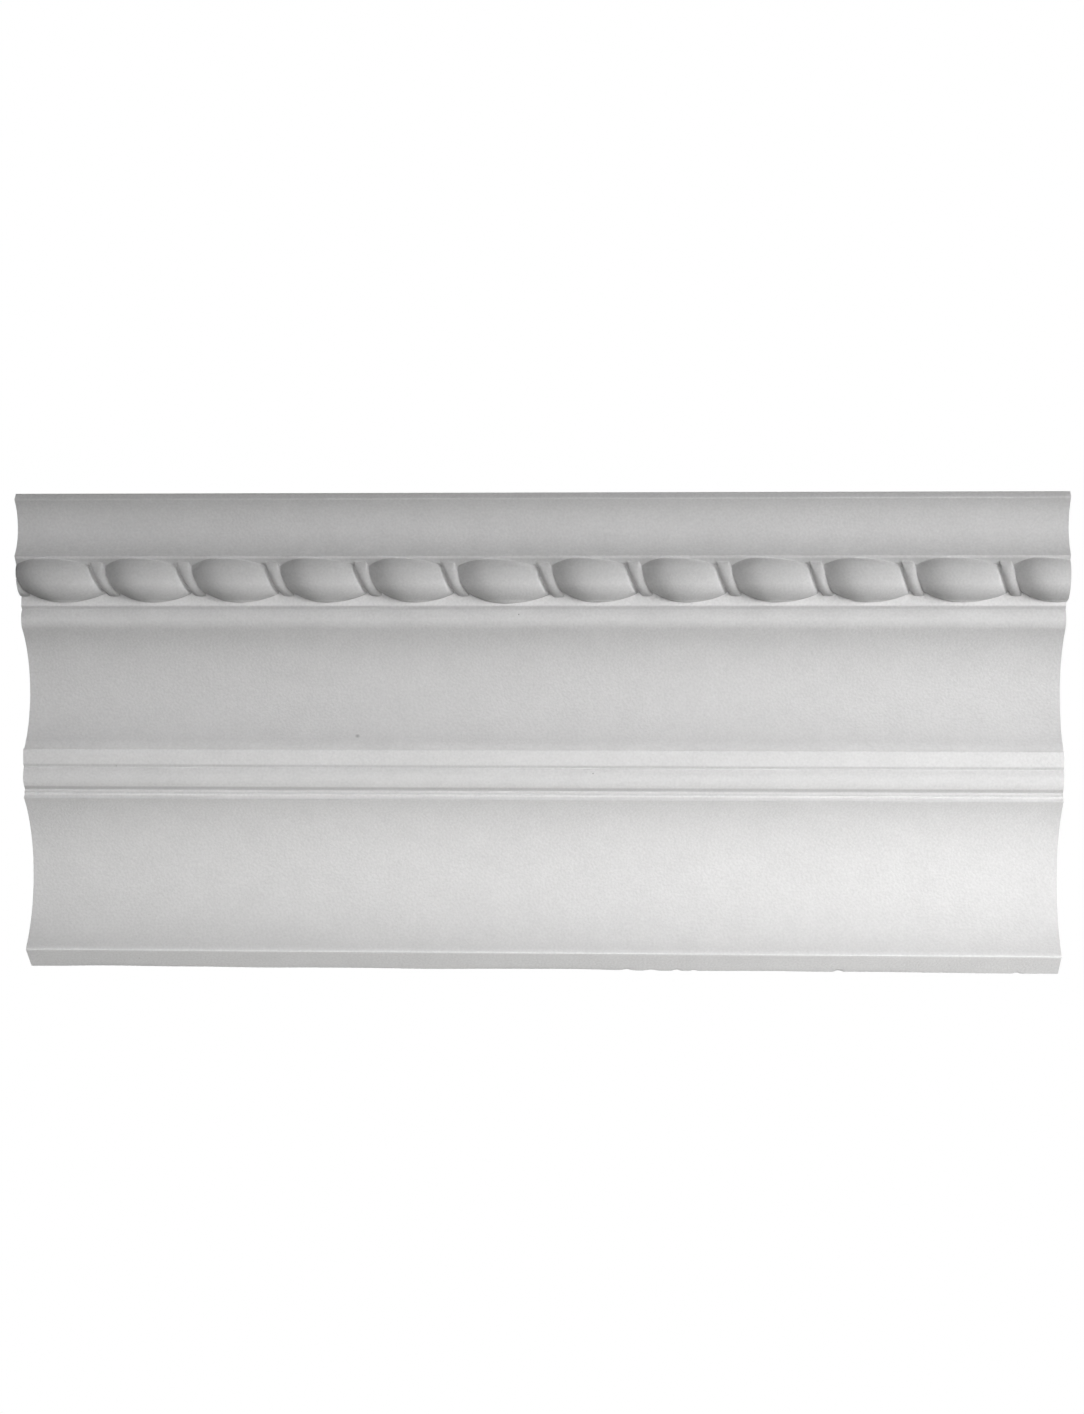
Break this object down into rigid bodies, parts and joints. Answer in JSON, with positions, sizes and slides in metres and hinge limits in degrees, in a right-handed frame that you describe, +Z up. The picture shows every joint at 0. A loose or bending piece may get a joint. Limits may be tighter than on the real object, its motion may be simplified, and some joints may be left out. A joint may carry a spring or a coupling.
{
  "type": "cornice moulding length",
  "caption": "Length of cast plaster cornice with coves, fillets and a twisted rope ornament, cut square at both ends.",
  "frame": {"origin": "middle of the wall face, at mid-length", "axes": "+X along the length, +Y into the wall, +Z up to the ceiling"},
  "size_m": [0.352, 0.1232, 0.1066],
  "materials": {
    "plaster": "matte cast gypsum plaster, unpainted"
  },
  "bodies": {
    "root": {"cornice_length": "plaster"}
  },
  "joints": []
}
